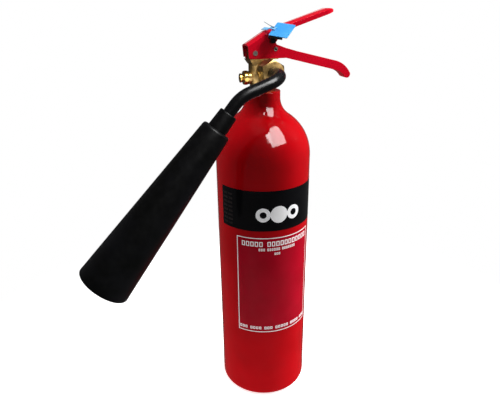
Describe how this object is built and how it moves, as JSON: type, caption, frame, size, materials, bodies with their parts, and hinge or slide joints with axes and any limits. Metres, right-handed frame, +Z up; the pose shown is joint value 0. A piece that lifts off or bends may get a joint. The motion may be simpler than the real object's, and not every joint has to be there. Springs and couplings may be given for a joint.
{
  "type": "fire extinguisher",
  "caption": "Portable carbon dioxide fire extinguisher: red cylinder, brass squeeze valve with carry handle, safety pin with seal, and a black horn on a swivel pipe.",
  "frame": {"origin": "centre of the cylinder's flat base", "axes": "+Z up the cylinder's axis, -Y out of the valve outlet and through the middle of the label, +X along the handles"},
  "size_m": [0.3399, 0.1637, 0.5026],
  "materials": {
    "red_paint": "high gloss",
    "lever_paint": "gloss",
    "band_print": "gloss film",
    "label_print": "gloss film",
    "valve_brass": "forged, slightly tarnished",
    "bright_brass": "turned bright",
    "steel": "bright zinc plated",
    "aluminium_tube": "drawn",
    "black_rubber": "matt",
    "white_plastic": "matt",
    "pipe_black": "gloss black powder coat",
    "horn_black": "satin moulded",
    "loop_black": "moulded",
    "seal_blue": "moulded",
    "strap_blue": "moulded"
  },
  "bodies": {
    "extinguisher": {"cylinder": "red_paint", "agent_band": "band_print", "front_label": "label_print", "valve_body": "valve_brass", "neck_o_ring": "black_rubber", "spring_retainer": "bright_brass", "dip_tube": "aluminium_tube", "gland_nut": "bright_brass", "gland_o_ring": "black_rubber", "burst_disc_washer": "steel", "burst_disc": "steel", "burst_disc_plug": "bright_brass", "swivel_nut": "valve_brass", "swivel_washer": "white_plastic", "carry_handle": "lever_paint", "handle_rivet": "steel", "lever_pivot_pin": "steel"},
    "lever": {"squeeze_lever": "lever_paint"},
    "valve_core": {"pusher_pin": "steel", "valve_piston": "bright_brass", "seat_seal": "black_rubber", "valve_spring": "steel"},
    "pull_pin": {"safety_pin": "steel", "pin_pull_loop": "loop_black", "seal_flag": "seal_blue", "seal_strap": "strap_blue"},
    "horn_assembly": {"swivel_pipe": "pipe_black", "swivel_ferrule": "bright_brass", "horn_collar": "horn_black", "horn_screw": "steel", "discharge_nozzle": "bright_brass", "horn": "horn_black"}
  },
  "joints": [
    {"name": "lever_squeeze", "type": "hinge", "parent": "extinguisher", "child": "lever", "pos_m": [-0.0125, 0, 0.4568], "axis": [0, 1, 0], "range_deg": [0, 12], "stiffness_Nm_per_rad": 1.5, "springref_deg": -5.73},
    {"name": "valve_open", "type": "slide", "parent": "extinguisher", "child": "valve_core", "axis": [0, 0, -1], "range_m": [0, 0.0039], "deforming": ["valve_spring"]},
    {"name": "safety_pin_pull", "type": "slide", "parent": "extinguisher", "child": "pull_pin", "axis": [0, -1, 0], "range_m": [0, 0.034]},
    {"name": "horn_swivel", "type": "hinge", "parent": "extinguisher", "child": "horn_assembly", "pos_m": [0, -0.035, 0.438], "axis": [0, 1, 0], "range_deg": [-28, 75]}
  ],
  "couplings": [
    {"joint": "valve_open", "follows": "lever_squeeze", "m_per_rad": 0.0186}
  ]
}
